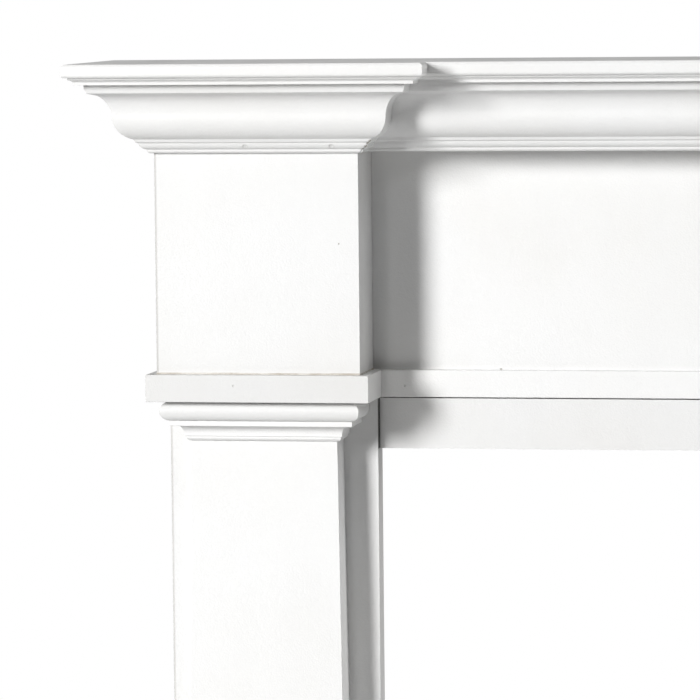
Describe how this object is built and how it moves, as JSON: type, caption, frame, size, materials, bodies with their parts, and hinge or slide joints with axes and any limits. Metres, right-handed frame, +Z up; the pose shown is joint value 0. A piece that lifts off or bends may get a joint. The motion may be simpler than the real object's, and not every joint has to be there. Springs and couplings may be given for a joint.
{
  "type": "fireplace mantel",
  "caption": "Breakfront fireplace mantel surround: moulded shelf and crown over a plain frieze with square end blocks, on pilaster legs.",
  "frame": {"origin": "on the floor, at the middle of the mantel's bounding box", "axes": "+X to the right along the shelf as seen from the room, +Y from the room towards the wall, +Z up"},
  "size_m": [1.94, 0.19, 1.3645],
  "materials": {
    "white_painted_wood": "bright white satin paint over primed wood and fibreboard, with a fine sprayed stipple",
    "bare_wood": "unpainted planed softwood on the hidden rails and the wall cleat",
    "bare_fibreboard": "unpainted medium-density fibreboard inside the blocks and leg tops",
    "zinc_plated_steel": "bright zinc-plated screws and bolts"
  },
  "bodies": {
    "root": {"band_centre": "white_painted_wood", "band_front_left": "white_painted_wood", "band_front_right": "white_painted_wood", "band_inner_return_left": "white_painted_wood", "band_inner_return_right": "white_painted_wood", "band_outer_return_left": "white_painted_wood", "band_outer_return_right": "white_painted_wood", "block_bottom_left": "bare_fibreboard", "block_bottom_right": "bare_fibreboard", "block_face_left": "white_painted_wood", "block_face_right": "white_painted_wood", "block_inner_side_left": "white_painted_wood", "block_inner_side_right": "white_painted_wood", "block_outer_side_left": "white_painted_wood", "block_outer_side_right": "white_painted_wood", "capital_front_left": "white_painted_wood", "capital_front_right": "white_painted_wood", "capital_inner_return_left": "white_painted_wood", "capital_inner_return_right": "white_painted_wood", "capital_outer_return_left": "white_painted_wood", "capital_outer_return_right": "white_painted_wood", "crown_backer": "white_painted_wood", "crown_centre": "white_painted_wood", "crown_front_left": "white_painted_wood", "crown_front_right": "white_painted_wood", "crown_inner_return_left": "white_painted_wood", "crown_inner_return_right": "white_painted_wood", "crown_outer_return_left": "white_painted_wood", "crown_outer_return_right": "white_painted_wood", "frieze_panel": "white_painted_wood", "header_batten": "bare_wood", "header_board": "white_painted_wood", "leg_board_left": "white_painted_wood", "leg_board_right": "white_painted_wood", "leg_bolt_left_inner": "zinc_plated_steel", "leg_bolt_left_outer": "zinc_plated_steel", "leg_bolt_right_inner": "zinc_plated_steel", "leg_bolt_right_outer": "zinc_plated_steel", "leg_side_panel_left": "white_painted_wood", "leg_side_panel_right": "white_painted_wood", "leg_top_plate_left": "bare_fibreboard", "leg_top_plate_right": "bare_fibreboard", "pilaster_face_left": "white_painted_wood", "pilaster_face_right": "white_painted_wood", "pilaster_packer_left": "white_painted_wood", "pilaster_packer_right": "white_painted_wood", "plinth_block_left": "white_painted_wood", "plinth_block_right": "white_painted_wood", "shelf_board": "white_painted_wood", "shelf_rail": "bare_wood", "shelf_screw_left": "zinc_plated_steel", "shelf_screw_middle": "zinc_plated_steel", "shelf_screw_right": "zinc_plated_steel", "torus_front_left": "white_painted_wood", "torus_front_right": "white_painted_wood", "torus_inner_return_left": "white_painted_wood", "torus_inner_return_right": "white_painted_wood", "torus_outer_return_left": "white_painted_wood", "torus_outer_return_right": "white_painted_wood", "wall_cleat": "bare_wood"}
  },
  "joints": []
}
